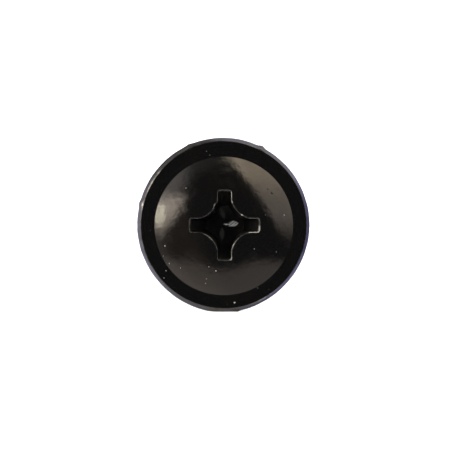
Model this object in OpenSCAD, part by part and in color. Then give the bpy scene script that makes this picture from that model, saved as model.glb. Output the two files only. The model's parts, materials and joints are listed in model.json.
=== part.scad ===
// Self-tapping screw with a domed washer head and a cross recess.
// One cold-headed, thread-rolled piece of steel. It lies at rest on the rim of its head
// and on two turns of its thread, with the head towards -Y.
// All sizes are in millimetres and all angles in degrees.

/* [Head] */
// Diameter of the washer flange
head_d = 11; // [9.8:0.1:13]
// Thickness of the washer flange
flange_t = 0.8; // [0.6:0.05:1.2]
// How far the rim bulges beyond the flange's upper edge
rim_bulge = 0.25; // [0.12:0.01:0.32]
// Width of the trimming flash on the rim, on which the head lies
lip_w = 1.9; // [1.2:0.1:2.4]
// Diameter of the dome where it meets the flange
dome_d = 8.85; // [7.6:0.05:9.1]
// Height of the dome above the flange
dome_h = 1.65; // [1.3:0.05:2.2]

/* [Cross recess] */
// Width across two opposite wings, where they meet the dome
recess_w = 4.5; // [4.1:0.05:4.8]
// Depth of the wings below that width
recess_depth = 2; // [1.6:0.05:2.2]
// Width of a wing at the mouth
wing_w = 0.9; // [0.75:0.05:1.1]
// Width of a wing at its foot
wing_foot_w = 0.72; // [0.5:0.02:0.74]
// Distance from the axis to the core's curved flanks at the mouth
core_reach = 1.19; // [1:0.01:1.3]
// Radius of the core's curved flanks at the mouth
flank_r = 1.5; // [1.3:0.05:1.8]
// Draft of the core's flanks
core_draft = 5.75; // [3:0.25:7]
// Slope of the wings' outer ends, from the axis
wing_slope = 26.5; // [24:0.5:28]
// Slope of the bottom, from square to the axis
bottom_slope = 28; // [20:1:30]

/* [Shank] */
// Length from the bearing face to the point
length = 19; // [12:0.5:32]
// Diameter of the plain neck under the head
neck_d = 3.5; // [3.4:0.05:3.8]
// Length of the plain neck
neck_l = 0.7; // [0.6:0.05:1.6]
// Length of the taper from the neck to the thread's core
neck_taper = 0.4; // [0.2:0.05:0.8]
// Radius of the fillet under the head
neck_fillet = 0.45; // [0.4:0.05:0.6]
// Length of the tapered point
point_l = 3.7; // [3:0.1:5]
// Radius of the blunted tip
tip_r = 0.1; // [0.06:0.01:0.16]

/* [Thread] */
// Diameter over the crests
thread_d = 4.2; // [4:0.05:4.4]
// Diameter of the core between the turns
core_d = 3.1; // [2.9:0.05:3.2]
// Distance between turns
pitch = 1.4; // [1.2:0.05:1.6]
// Width of the crest
crest_w = 0.1; // [0.06:0.01:0.16]
// Angle between the flanks
thread_angle = 60; // [45:1:65]

/* [Hidden] */
$fn = 96;

head_r = head_d / 2;
thread_r = thread_d / 2;
core_r = core_d / 2;
neck_r = neck_d / 2;
head_h = flange_t + dome_h;

// The rim is widest a little below the middle of its thickness
rim_share = 0.46;
rim_z = rim_share * flange_t;
rim_r = (pow(flange_t - rim_z, 2) + pow(rim_bulge, 2)) / (2 * rim_bulge);
// The trimming flash sits off the middle, and ends below the flange's upper edge
lip_x = 0.1;
lip_t = 0.78 * flange_t;

// The dome is a spherical cap
dome_r = (pow(dome_d / 2, 2) + pow(dome_h, 2)) / (2 * dome_h);
dome_z = head_h - dome_r;

// The recess's mouth is where its wings meet the dome
mouth_z = dome_z + sqrt(pow(dome_r, 2) - pow(recess_w / 2, 2));
wing_foot_z = mouth_z - recess_depth;
wing_foot_r = recess_w / 2 - recess_depth * tan(wing_slope);
recess_bottom_z = wing_foot_z - wing_foot_r * tan(bottom_slope);
flank_offset = (core_reach + flank_r) / sqrt(2);
cut_clear = 0.5;

// The crests keep their full height to this depth, and then taper to the tip
full_l = length - point_l;
crest_taper = (thread_r - tip_r) / point_l;
steps_per_turn = 36;
step_z = pitch / steps_per_turn;
// The ridge's foot lies this deep inside the core
ridge_sink = 0.12;
// The ridge rises out of the core, and sinks back into it, over this many steps
fade_steps = 12;
// Share of the point that the ridge runs along
point_share = 0.86;
// Depth of the last full crest that touches the floor, and the tries to find it
rest_tries = 6;
rest_l = rest_depth(full_l, rest_tries);
first_step = -floor((rest_l - neck_l) / step_z);
last_step = floor((full_l + point_share * point_l - rest_l) / step_z);

// At rest the floor touches the flange's rim and two neighbouring crests
lie_angle = lie_at(rest_l);
rest_z = thread_r * cos(lie_angle) + rest_l * sin(lie_angle);
front_y = dome_z * cos(lie_angle) + sqrt(pow(dome_r, 2) - pow(wing_w / 2, 2));
back_y = length * cos(lie_angle) + tip_r * sin(lie_angle);
rest_y = (front_y - back_y) / 2;

// Angle of the axis to the floor when the screw lies on its flange and a full crest at a depth
function lie_at(depth) =
    let (run = depth + rim_z, rise = head_r - rim_r - thread_r)
    atan(rise / run) + asin(rim_r / norm([run, rise]));

// The screw rolls until the next crest, on the point, touches the floor as well. The line through
// both crests then slopes as the screw lies, which is found by trying a depth again and again.
function rest_depth(depth, tries) =
    tries == 0
        ? depth
        : rest_depth(full_l - pitch * (1 - tan(lie_at(depth)) / crest_taper), tries - 1);

// Radius of the core at a depth below the bearing face
function core_at(depth) =
    depth < full_l ? core_r : core_r + (tip_r - core_r) * (depth - full_l) / point_l;

// Radius over the crests at a depth below the bearing face
function crest_at(depth) =
    depth < full_l ? thread_r : thread_r + (tip_r - thread_r) * (depth - full_l) / point_l;

// Share of the ridge's height at a step along the thread
function ridge_share(i) = min(1, (i - first_step) / fade_steps, (last_step - i) / fade_steps);

// Turns from the place where the thread lies on the floor, which is halfway between two steps
function step_turn(i) = (i + 0.5) / steps_per_turn;

// Depth below the bearing face at a step along the thread
function step_depth(i) = rest_l + step_turn(i) * pitch;

// The ridge's crest at a step, which starts and ends just under the core's surface
function ridge_crest(i) =
    let (core = core_at(step_depth(i)), sunk = core - ridge_sink / 2)
    sunk + (crest_at(step_depth(i)) - sunk) * ridge_share(i);

// Half the ridge's width at its foot
function ridge_half_foot(i) =
    crest_w / 2
    + (ridge_crest(i) - core_at(step_depth(i)) + ridge_sink) * tan(thread_angle / 2);

// A point of the ridge, at a radius and a depth, turned to its place on the right-hand helix
function ridge_point(i, radius, depth) =
    let (turn = -90 - step_turn(i) * 360)
    [radius * cos(turn), radius * sin(turn), -depth];

// The four corners of the ridge's section at a step
function ridge_section(i) =
    let (
        depth = step_depth(i),
        crest = ridge_crest(i),
        upper = depth - ridge_half_foot(i),
        lower = depth + ridge_half_foot(i)
    )
    [
        ridge_point(i, core_at(upper) - ridge_sink, upper),
        ridge_point(i, crest, depth - crest_w / 2),
        ridge_point(i, crest, depth + crest_w / 2),
        ridge_point(i, core_at(lower) - ridge_sink, lower)
    ];

// Half of the flange's section, with its bulging rim
module flange_section() {
    square([head_r - rim_r, flange_t]);
    intersection() {
        translate([head_r - rim_r, 0]) square([rim_r, flange_t]);
        translate([head_r - rim_r, rim_z]) circle(rim_r);
    }
}

// Half of the dome's section
module dome_section() {
    intersection() {
        translate([0, dome_z]) circle(dome_r);
        translate([0, flange_t / 2]) square([dome_d / 2, head_h]);
    }
}

// Half of the neck's section, with its fillet under the head and its taper to the core
module neck_section() {
    polygon([
        [0, flange_t / 2],
        [neck_r, flange_t / 2],
        [neck_r, -neck_l],
        [core_r, -neck_l - neck_taper],
        [0, -neck_l - neck_taper]
    ]);
    difference() {
        translate([0, -neck_fillet]) square([neck_r + neck_fillet, neck_fillet + flange_t / 2]);
        translate([neck_r + neck_fillet, -neck_fillet]) circle(neck_fillet);
    }
}

// The headed blank: flange, dome and neck turned about one axis
module head() {
    rotate_extrude() {
        flange_section();
        dome_section();
        neck_section();
    }
}

// The flash that the trimming tool left on the rim, flat where it lies on the floor
module rim_lip() {
    intersection() {
        translate([lip_x - lip_w / 2, -head_r - rim_r, rim_z / 2])
            cube([lip_w, 2 * rim_r, lip_t - rim_z / 2]);
        rotate([lie_angle - 90, 0, 0])
            translate([-head_d, -length, -rest_z])
                cube([2 * head_d, 2 * length, head_d]);
    }
}

// The core that carries the thread, with its tapered point
module core() {
    rotate_extrude()
        polygon([
            [0, 0],
            [core_r, 0],
            [core_r, -full_l],
            [tip_r, -length],
            [0, -length]
        ]);
}

// The ridge of the thread, wound right-handed along the core and round the point
module thread() {
    steps = last_step - first_step;
    points = [for (i = [first_step:last_step]) each ridge_section(i)];
    sides = [
        for (i = [0:steps - 1])
            for (k = [0:3])
                let (a = 4 * i + k, b = 4 * i + (k + 1) % 4)
                each [[a, b, b + 4], [a, b + 4, a + 4]]
    ];
    ends = [[3, 2, 1, 0], [for (k = [0:3]) 4 * steps + k]];
    polyhedron(points, concat(sides, ends));
}

// Cone that bounds the recess: sloping wing ends above a shallow conical bottom
module recess_cone() {
    top_z = head_h + cut_clear;
    rotate_extrude()
        polygon([
            [0, recess_bottom_z],
            [wing_foot_r, wing_foot_z],
            [wing_foot_r + (top_z - wing_foot_z) * tan(wing_slope), top_z],
            [0, top_z]
        ]);
}

// One pair of opposite wings along X, narrower at the foot
module wing_pair() {
    top_z = head_h + 2 * cut_clear;
    flare = (wing_w - wing_foot_w) / 2 / recess_depth;
    foot = wing_foot_w / 2 - (wing_foot_z - recess_bottom_z + cut_clear) * flare;
    top = wing_w / 2 + (top_z - mouth_z) * flare;
    rotate([90, 0, 90])
        linear_extrude(2 * recess_w, center = true)
            polygon([
                [-foot, recess_bottom_z - cut_clear],
                [foot, recess_bottom_z - cut_clear],
                [top, top_z],
                [-top, top_z]
            ]);
}

// The core between the wings, with four curved flanks
module recess_core() {
    low = recess_bottom_z - cut_clear;
    high = head_h + 2 * cut_clear;
    difference() {
        translate([-flank_offset, -flank_offset, low])
            cube([2 * flank_offset, 2 * flank_offset, high - low]);
        for (turn = [45:90:315])
            rotate(turn)
                translate([core_reach + flank_r, 0, low - cut_clear])
                    cylinder(
                        r1 = flank_r + (mouth_z - low + cut_clear) * tan(core_draft),
                        r2 = flank_r - (high + cut_clear - mouth_z) * tan(core_draft),
                        h = high - low + 2 * cut_clear
                    );
    }
}

// What the punch leaves: a cross that narrows to its bottom
module recess() {
    intersection() {
        recess_cone();
        union() {
            wing_pair();
            rotate(90) wing_pair();
            recess_core();
        }
    }
}

// Lays an upright screw down on its head's rim and its thread
module laid_down() {
    translate([0, rest_y, rest_z]) rotate([90 - lie_angle, 0, 0]) children();
}

// The whole screw: one solid
module screw() {
    color([0.05, 0.05, 0.05])
        laid_down() {
            difference() {
                union() {
                    head();
                    rim_lip();
                    core();
                }
                recess();
            }
            thread();
        }
}

screw();
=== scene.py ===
"""Looks of a black self-tapping screw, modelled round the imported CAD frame.

The screw lies on its flange and its thread as the CAD model does, and the camera looks straight
onto its head. The meshes are modelled upright in millimetres, head up, with the bearing face at
z = 0, and are then laid down into the frame in metres.
"""

import json
import logging
import math
import random
from collections.abc import Callable, Sequence
from dataclasses import dataclass, field, replace
from enum import Enum

import bmesh
import bpy
from mathutils import Matrix, Vector, noise

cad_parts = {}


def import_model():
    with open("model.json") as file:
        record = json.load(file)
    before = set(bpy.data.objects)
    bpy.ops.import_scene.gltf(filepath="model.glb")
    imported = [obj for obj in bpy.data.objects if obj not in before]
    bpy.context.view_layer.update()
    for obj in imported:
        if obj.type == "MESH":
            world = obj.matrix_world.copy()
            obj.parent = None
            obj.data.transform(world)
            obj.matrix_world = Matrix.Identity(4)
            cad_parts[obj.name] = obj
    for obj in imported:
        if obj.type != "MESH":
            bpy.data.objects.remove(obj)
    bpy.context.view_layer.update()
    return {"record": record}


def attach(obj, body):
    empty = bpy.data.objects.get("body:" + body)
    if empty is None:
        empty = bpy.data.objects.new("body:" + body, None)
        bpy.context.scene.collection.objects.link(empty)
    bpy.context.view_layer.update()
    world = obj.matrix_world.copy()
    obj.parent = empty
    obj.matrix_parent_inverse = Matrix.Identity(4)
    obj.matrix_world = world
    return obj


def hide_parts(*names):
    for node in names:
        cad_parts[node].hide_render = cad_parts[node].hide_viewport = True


LOG = logging.getLogger("screw")
MM = 0.001
BODY = "root"
NODE = "screw"
WEAR_AND_HIGHLIGHT = "wear_and_highlight"
DEEP = "deep"
GRID = 1e4
WELD = 1e-4
NEAR = 1e-3
VALUE_SOCKET = "NodeSocketFloat"
Point2 = tuple[float, float]
Point3 = tuple[float, float, float]
Colour = tuple[float, float, float, float]


class Axis(Enum):
    """Directions of the picture, as seen by the camera: front points at the camera."""

    RIGHT = "right"
    UP = "up"
    FRONT = "front"


class NibKind(Enum):
    """The two kinds of speck on the coat: pale dust that also paints tiny highlights, and lumps
    under the coat.
    """

    DUST_AND_GLINT = "dust_and_glint"
    COAT = "coat"


def take(obj: bpy.types.Object) -> None:
    """Selects one object alone and makes it active."""
    for other in list(bpy.context.selected_objects):
        other.select_set(False)
    obj.select_set(True)
    bpy.context.view_layer.objects.active = obj


def open_mesh(obj: bpy.types.Object) -> bmesh.types.BMesh:
    """Puts one object into edit mode.

    Args:
        obj: the object to edit.

    Returns:
        Its edit mesh.
    """
    take(obj)
    bpy.ops.object.mode_set(mode="EDIT")
    return bmesh.from_edit_mesh(obj.data)


def close_mesh() -> None:
    """Goes back to object mode."""
    bpy.ops.object.mode_set(mode="OBJECT")


def key(point: Vector) -> tuple[int, ...]:
    """Returns a point's place on a grid of a ten-thousandth, to find it again."""
    return tuple(round(value * GRID) for value in point)


def start_vertex(name: str, point: Sequence[float]) -> bpy.types.Object:
    """Adds a plane, merges it to one selected vertex and leaves it in edit mode.

    Args:
        name: name of the new object.
        point: where the vertex goes.

    Returns:
        The new object.
    """
    bpy.ops.mesh.primitive_plane_add(size=1.0, location=(0.0, 0.0, 0.0))
    obj = bpy.context.view_layer.objects.active
    obj.name = name
    obj.data.name = name
    open_mesh(obj)
    bpy.ops.mesh.select_mode(type="VERT")
    bpy.ops.mesh.select_all(action="SELECT")
    bpy.ops.mesh.merge(type="CENTER")
    bpy.ops.transform.translate(value=tuple(point))
    return obj


def trace(start: Sequence[float], points: Sequence[Sequence[float]]) -> None:
    """Extrudes the one selected vertex from point to point.

    Args:
        start: where the vertex is.
        points: the points to follow.
    """
    here = Vector(start)
    for point in points:
        step = Vector(point) - here
        bpy.ops.mesh.extrude_region_move(TRANSFORM_OT_translate={"value": tuple(step)})
        here = Vector(point)


def arc(centre: Point2, radius: float, start: float, end: float, steps: int) -> list[Point2]:
    """Gives points along an arc.

    Args:
        centre: centre of the arc.
        radius: radius of the arc.
        start: first angle in degrees.
        end: last angle in degrees.
        steps: number of steps between them.

    Returns:
        The points, both ends included.
    """
    turns = [math.radians(start + (end - start) * i / steps) for i in range(steps + 1)]
    return [(centre[0] + radius * math.cos(t), centre[1] + radius * math.sin(t)) for t in turns]


def pick_edges(obj: bpy.types.Object, wanted: Callable[[bmesh.types.BMEdge], bool]) -> None:
    """Selects exactly the edges that pass a test.

    Args:
        obj: an object in edit mode.
        wanted: the test.
    """
    bpy.ops.mesh.select_mode(type="EDGE")
    bpy.ops.mesh.select_all(action="DESELECT")
    mesh = bmesh.from_edit_mesh(obj.data)
    for edge in [edge for edge in mesh.edges if wanted(edge)]:
        edge.select_set(True)
    bmesh.update_edit_mesh(obj.data)


def reshape(
    obj: bpy.types.Object, moved: Callable[[Vector], Vector], selected: bool = False
) -> None:
    """Moves the vertices of an object.

    Args:
        obj: an object in edit mode.
        moved: gives a vertex's new place from its old one.
        selected: whether only the selected vertices move.
    """
    mesh = bmesh.from_edit_mesh(obj.data)
    for vertex in mesh.verts:
        if vertex.select or not selected:
            vertex.co = moved(vertex.co)
    bmesh.update_edit_mesh(obj.data)


def weld() -> None:
    """Merges the doubles of the whole mesh in edit mode."""
    bpy.ops.mesh.select_all(action="SELECT")
    bpy.ops.mesh.remove_doubles(threshold=WELD)


def join(first: bpy.types.Object, *others: bpy.types.Object) -> bpy.types.Object:
    """Joins objects into the first one and returns it."""
    take(first)
    for other in others:
        other.select_set(True)
    bpy.ops.object.join()
    return first


def slope(angle: float) -> float:
    """Returns the tangent of an angle in degrees."""
    return math.tan(math.radians(angle))


def smooth_max(a: float, b: float, blend: float) -> float:
    """Returns the larger of two values, rounded over where they cross."""
    return (a + b + math.hypot(a - b, blend)) / 2


def clamp(value: float) -> float:
    """Returns a value held between 0 and 1."""
    return min(1.0, max(0.0, value))


def ease(value: float, low: float, high: float) -> float:
    """Returns a smooth step from 0 at the low value to 1 at the high one."""
    share = clamp((value - low) / (high - low))
    return share * share * (3 - 2 * share)


@dataclass(frozen=True)
class Pose:
    """Place of the screw in the frame: where its bearing face is and how it lies."""

    origin: Vector
    axis: Vector

    @classmethod
    def from_record(cls, record: dict) -> "Pose":
        """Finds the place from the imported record's mounts.

        Args:
            record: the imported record.

        Returns:
            The pose.
        """
        mounts = {mount["name"]: mount for mount in record["mounts"]}
        axis = Vector(mounts["drive_recess"]["axis"]).normalized()
        on_axis = Vector(mounts["thread"]["pos_m"])
        on_face = Vector(mounts["bearing_face"]["pos_m"])
        return cls(on_axis + axis * (on_face - on_axis).dot(axis), axis)

    @property
    def lie(self) -> float:
        """Angle of the axis to the floor, in radians."""
        return math.asin(self.axis.z)

    @property
    def turn(self) -> float:
        """Turn about X that lays an upright screw down, in radians."""
        return math.pi / 2 - self.lie

    def direction(self, axis: Axis) -> Vector:
        """Gives a direction of the picture in the frame.

        Args:
            axis: the direction's name.

        Returns:
            A unit vector.
        """
        right = Vector((1.0, 0.0, 0.0))
        directions = {Axis.RIGHT: right, Axis.UP: self.axis.cross(right), Axis.FRONT: self.axis}
        return directions[axis].copy()

    def floor_at(self, z: float) -> float:
        """Returns the distance in millimetres from the axis down to the floor at a height."""
        return (self.origin.z / MM + self.axis.z * z) / math.cos(self.lie)

    def place(self, x: float, y: float, z: float) -> Vector:
        """Returns the frame point in metres of an upright point in millimetres."""
        up = self.direction(Axis.UP)
        return self.origin + (self.direction(Axis.RIGHT) * x + up * y + self.axis * z) * MM

    def lay_down(self, obj: bpy.types.Object) -> None:
        """Takes an upright piece in millimetres to its place in the frame.

        Args:
            obj: the piece.
        """
        take(obj)
        obj.scale = (MM, MM, MM)
        obj.rotation_euler = (self.turn, 0.0, 0.0)
        obj.location = self.origin
        bpy.ops.object.transform_apply(location=True, rotation=True, scale=True)


@dataclass
class WasherHead:
    """The dome on its washer flange, and the neck's fillet under it."""

    head_r: float = 5.5
    flange_t: float = 0.8
    rim_bulge: float = 0.25
    rim_share: float = 0.46
    band_share: float = 0.66
    band_inset: float = 0.225
    rim_edge_r: float = 0.03
    lip_x: float = 0.1
    lip_w: float = 1.9
    lip_share: float = 0.7
    dome_edge_r: float = 4.405
    dome_h: float = 1.65
    neck_r: float = 1.75
    neck_fillet: float = 0.45
    seam_depth: float = 0.48
    dome_shift: Point2 = (0.04, -0.09)
    punch_shift: Point2 = (0.085, -0.047)
    flat_shift: Point2 = (0.03, -0.01)
    punch_fade: Point2 = (2.8, 4.2)
    ring_r: float = 3.1
    support: float = 0.05
    steps: int = 256
    dome_steps: int = 14
    bulge_steps: int = 10
    fillet_steps: int = 8
    rim_segments: int = 2
    band_shares: tuple[float, ...] = (0.0, 0.15, 0.4, 0.65, 0.88)

    @property
    def flat_end(self) -> float:
        """Radius at which the flange's flat top ends in the trimmed band."""
        return self.head_r - self.band_inset

    @property
    def band_z(self) -> float:
        """Height at which the trimmed band ends in the bulge."""
        return self.band_share * self.flange_t

    @property
    def rim_z(self) -> float:
        """Height at which the rim is widest."""
        return self.rim_share * self.flange_t

    @property
    def rim_r(self) -> float:
        """Radius of the rim's bulge."""
        return ((self.flange_t - self.rim_z) ** 2 + self.rim_bulge**2) / (2 * self.rim_bulge)

    @property
    def dome_r(self) -> float:
        """Radius of the dome's sphere."""
        return (self.dome_edge_r**2 + self.dome_h**2) / (2 * self.dome_h)

    @property
    def dome_z(self) -> float:
        """Height of the centre of the dome's sphere."""
        return self.flange_t + self.dome_h - self.dome_r

    def dome_at(self, radius: float) -> float:
        """Returns the dome's height at a distance from the axis."""
        return self.dome_z + math.sqrt(self.dome_r**2 - radius**2)

    def top_at(self, radius: float) -> float:
        """Returns the height of the head's upper surface at a distance from the axis."""
        return self.dome_at(radius) if radius < self.dome_edge_r else self.flange_t

    def shift_at(self, radius: float) -> Vector:
        """Gives how far the blows that formed the dome and the recess went off centre.

        Args:
            radius: distance from the axis.

        Returns:
            The shift across the head.
        """
        shifts = (self.dome_shift, self.punch_shift, self.flat_shift)
        dome, punch, flat = (Vector(shift) for shift in shifts)
        outwards = ease(radius, self.dome_edge_r, self.flat_end - 2 * self.support)
        shift = punch.lerp(dome, ease(radius, *self.punch_fade)).lerp(flat, outwards)
        return shift * (1 - ease(radius, self.flat_end, self.head_r - self.support))

    def section(self) -> list[Point2]:
        """Gives half of the section, from the dome outwards and down to the neck.

        The rim follows the bulge, with a straight band at its upper edge, which the trimming left.

        Returns:
            Points as distance from the axis and height.
        """
        inner = math.degrees(math.acos(self.ring_r / self.dome_r))
        outer = math.degrees(math.acos(self.dome_edge_r / self.dome_r))
        dome = arc((0.0, self.dome_z), self.dome_r, inner, outer, self.dome_steps)
        flat = [
            (self.dome_edge_r + self.support, self.flange_t),
            ((self.dome_edge_r + self.flat_end) / 2, self.flange_t),
            (self.flat_end - self.support, self.flange_t),
        ]
        high = math.degrees(math.asin((self.band_z - self.rim_z) / self.rim_r))
        low = -math.degrees(math.asin(self.rim_z / self.rim_r))
        middle = (self.head_r - self.rim_r, self.rim_z)
        bulge = arc(middle, self.rim_r, high, low, self.bulge_steps)
        top, foot = Vector((self.flat_end, self.flange_t)), Vector(bulge[0])
        band = [tuple(top.lerp(foot, share)) for share in self.band_shares]
        low_end = bulge[-1][0]
        foot_r = self.neck_r + self.neck_fillet
        bearing = [
            (low_end - self.support, 0.0),
            ((low_end + foot_r) / 2, 0.0),
            (foot_r + self.support, 0.0),
        ]
        fillet = arc((foot_r, -self.neck_fillet), self.neck_fillet, 90, 180, self.fillet_steps)
        neck = (self.neck_r, -self.seam_depth)
        return [*dome, *flat, *band, *bulge, *bearing, *fillet, neck]

    def build(self) -> bpy.types.Object:
        """Traces the section and spins it about the axis.

        Returns:
            The head, open inside the dome's inner ring and at the neck's end.
        """
        points = [(radius, 0.0, height) for radius, height in self.section()]
        head = start_vertex("screw_head", points[0])
        trace(points[0], points[1:])
        bpy.ops.mesh.select_all(action="SELECT")
        bpy.ops.mesh.spin(
            steps=self.steps,
            angle=2 * math.pi,
            center=(0.0, 0.0, 0.0),
            axis=(0.0, 0.0, 1.0),
        )
        weld()
        pick_edges(head, self.on_rim_edge)
        bpy.ops.mesh.bevel(offset=self.rim_edge_r, segments=self.rim_segments, affect="EDGES")
        close_mesh()
        return head

    def on_rim_edge(self, edge: bmesh.types.BMEdge) -> bool:
        """Tells whether an edge runs round the rim's upper or lower edge."""
        ends = [(math.hypot(vertex.co.x, vertex.co.y), vertex.co.z) for vertex in edge.verts]
        inner = self.head_r - self.rim_r
        low = inner + math.sqrt(self.rim_r**2 - self.rim_z**2)
        corners = ((self.flat_end, self.flange_t), (low, 0.0))
        return any(all(math.dist(end, corner) < NEAR for end in ends) for corner in corners)


@dataclass
class CrossRecess:
    """The punched cross: sloping wings, curved flanks and a shallow conical bottom."""

    head: WasherHead
    width: float = 4.45
    depth: float = 2.0
    wing_half: float = 0.42
    wing_flare: float = 0.045
    core_reach: float = 1.165
    flank_r: float = 1.5
    core_draft: float = 5.75
    wing_slope: float = 26.5
    bottom_slope: float = 28.0
    corner_r: float = 0.08
    edge_r: float = 0.035
    collar: float = 0.06
    end_steps: int = 5
    corner_steps: int = 5
    side_steps: int = 7
    flank_steps: int = 15
    seat_rounds: int = 6
    bridge_cuts: int = 8
    edge_segments: int = 3
    wall_shares: tuple[float, ...] = (0.1, 0.35, 0.65, 0.93, 1.0)
    floor_shares: tuple[float, ...] = (0.93, 0.6, 0.25, 0.08)

    @property
    def mouth_z(self) -> float:
        """Height at which the wings' ends meet the dome."""
        return self.head.dome_at(self.width / 2)

    @property
    def foot_r(self) -> float:
        """Distance from the axis to the wings' feet."""
        return self.width / 2 - self.depth * slope(self.wing_slope)

    @property
    def bottom_z(self) -> float:
        """Height of the lowest point."""
        return self.mouth_z - self.depth - self.foot_r * slope(self.bottom_slope)

    def bottom_at(self, radius: float) -> float:
        """Returns the bottom's height at a distance from the axis."""
        return self.bottom_z + radius * slope(self.bottom_slope)

    def eighth(self, z: float) -> list[Point2]:
        """Gives an eighth of the outline at a height, from a wing's end to the diagonal.

        Args:
            z: the height.

        Returns:
            Points from the middle of a wing's end, through its corner and side, to the flank.
        """
        rise = z - self.mouth_z
        end_r = self.width / 2 + rise * slope(self.wing_slope)
        half = self.wing_half + rise * self.wing_flare
        flank_r = self.flank_r - rise * slope(self.core_draft)
        centre = (self.core_reach + self.flank_r) / math.sqrt(2)
        corner = self.corner_r
        corner_x = math.sqrt((end_r - corner) ** 2 - (half - corner) ** 2)
        lead = math.degrees(math.atan2(half - corner, corner_x))
        ends = arc((0.0, 0.0), end_r, 0.0, lead, self.end_steps)
        corners = arc((corner_x, half - corner), corner, lead, 90.0, self.corner_steps)
        meet_x = centre - math.sqrt(flank_r**2 - (centre - half) ** 2)
        meet = math.degrees(math.atan2(half - centre, meet_x - centre)) % 360
        diagonal = 225.0
        flank = arc((centre, centre), flank_r, meet, diagonal, self.flank_steps)
        sides = [
            (corner_x + (meet_x - corner_x) * i / self.side_steps, half)
            for i in range(1, self.side_steps)
        ]
        return [*ends, *corners[1:], *sides, *flank]

    def outline(self, z: float) -> list[Point2]:
        """Gives the whole outline at a height.

        Args:
            z: the height.

        Returns:
            Points once round the cross, without a repeat.
        """
        eighth = self.eighth(z)
        quarter = eighth[:-1] + [(y, x) for x, y in reversed(eighth)][:-1]
        loop: list[Point2] = []
        for cos, sin in ((1, 0), (0, 1), (-1, 0), (0, -1)):
            loop += [(x * cos - y * sin, x * sin + y * cos) for x, y in quarter]
        return loop

    def seat(self, surface: Callable[[float], float]) -> list[Vector]:
        """Brings the outline onto a surface of revolution.

        Args:
            surface: height of the surface at a distance from the axis.

        Returns:
            The loop in which the cross cuts the surface.
        """
        count = len(self.outline(self.mouth_z))
        heights = [self.mouth_z] * count
        for _ in range(self.seat_rounds):
            spots = [self.outline(heights[i])[i] for i in range(count)]
            heights = [surface(math.hypot(*spot)) for spot in spots]
        return [Vector((x, y, z)) for (x, y), z in zip(spots, heights)]

    def collar_round(self, mouth: list[Vector]) -> list[Vector]:
        """Gives a loop on the dome close round the mouth, which keeps its edge crisp.

        Args:
            mouth: the loop of the mouth.

        Returns:
            The loop outside it.
        """
        ring = []
        for before, point, after in zip([mouth[-1], *mouth], mouth, [*mouth[1:], mouth[0]]):
            along = (after - before).to_2d().normalized()
            x, y = point.x + along.y * self.collar, point.y - along.x * self.collar
            ring.append(Vector((x, y, self.head.dome_at(math.hypot(x, y)))))
        return ring

    def loops(self) -> list[list[Vector]]:
        """Gives the loops of the recess, from the collar round its mouth down to its bottom.

        Returns:
            The loops, each with the same number of points.
        """
        mouth = self.seat(self.head.dome_at)
        foot = self.seat(self.bottom_at)
        loops = [self.collar_round(mouth), mouth]
        for share in self.wall_shares:
            ring = []
            for i, (top, low) in enumerate(zip(mouth, foot)):
                z = top.z + (low.z - top.z) * share
                ring.append(Vector((*self.outline(z)[i], z)))
            loops.append(ring)
        for share in self.floor_shares:
            spots = [(point.x * share, point.y * share) for point in foot]
            loops.append([Vector((x, y, self.bottom_at(math.hypot(x, y)))) for x, y in spots])
        return loops

    def build(self) -> bpy.types.Object:
        """Shapes a circle into the collar and extrudes it inwards and down loop by loop.

        Returns:
            The recess's surface, open at the collar.
        """
        loops = self.loops()
        bpy.ops.mesh.primitive_circle_add(vertices=len(loops[0]), radius=self.width / 2)
        recess = bpy.context.view_layer.objects.active
        recess.name = "screw_recess"
        mesh = open_mesh(recess)
        mesh.verts.ensure_lookup_table()
        for vertex, point in zip(mesh.verts, loops[0]):
            vertex.co = point
        bmesh.update_edit_mesh(recess.data)
        bpy.ops.mesh.select_mode(type="EDGE")
        bpy.ops.mesh.select_all(action="SELECT")
        for upper, lower in zip(loops, loops[1:]):
            targets = {key(old): new for old, new in zip(upper, lower)}
            bpy.ops.mesh.extrude_region_move()
            reshape(recess, lambda point, to=targets: to[key(point)], selected=True)
        bpy.ops.mesh.extrude_region_move()
        bpy.ops.mesh.merge(type="CENTER")
        close_mesh()
        return recess

    def cut_into(self, head: bpy.types.Object) -> bpy.types.Object:
        """Joins the recess to the dome and rounds the edge of its mouth.

        Args:
            head: the open head.

        Returns:
            The head with its recess.
        """
        collar, mouth = ({key(point) for point in loop} for loop in self.loops()[:2])
        whole = join(head, self.build())
        ring_z = self.head.dome_at(self.head.ring_r)
        mesh = open_mesh(whole)
        before = len(mesh.verts)

        def open_edge(edge: bmesh.types.BMEdge) -> bool:
            """Tells whether an edge bounds the gap between the collar and the dome's ring."""
            at_ring = all(abs(vertex.co.z - ring_z) < NEAR for vertex in edge.verts)
            at_collar = all(key(vertex.co) in collar for vertex in edge.verts)
            return edge.is_boundary and (at_ring or at_collar)

        pick_edges(whole, open_edge)
        bpy.ops.mesh.bridge_edge_loops(number_cuts=self.bridge_cuts, interpolation="LINEAR")
        mesh = bmesh.from_edit_mesh(whole.data)
        mesh.verts.ensure_lookup_table()
        for vertex in mesh.verts[before:]:
            vertex.co.z = self.head.dome_at(math.hypot(vertex.co.x, vertex.co.y))
        bmesh.update_edit_mesh(whole.data)
        pick_edges(whole, lambda edge: all(key(vertex.co) in mouth for vertex in edge.verts))
        bpy.ops.mesh.bevel(offset=self.edge_r, segments=self.edge_segments, affect="EDGES")
        close_mesh()
        return whole


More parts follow.
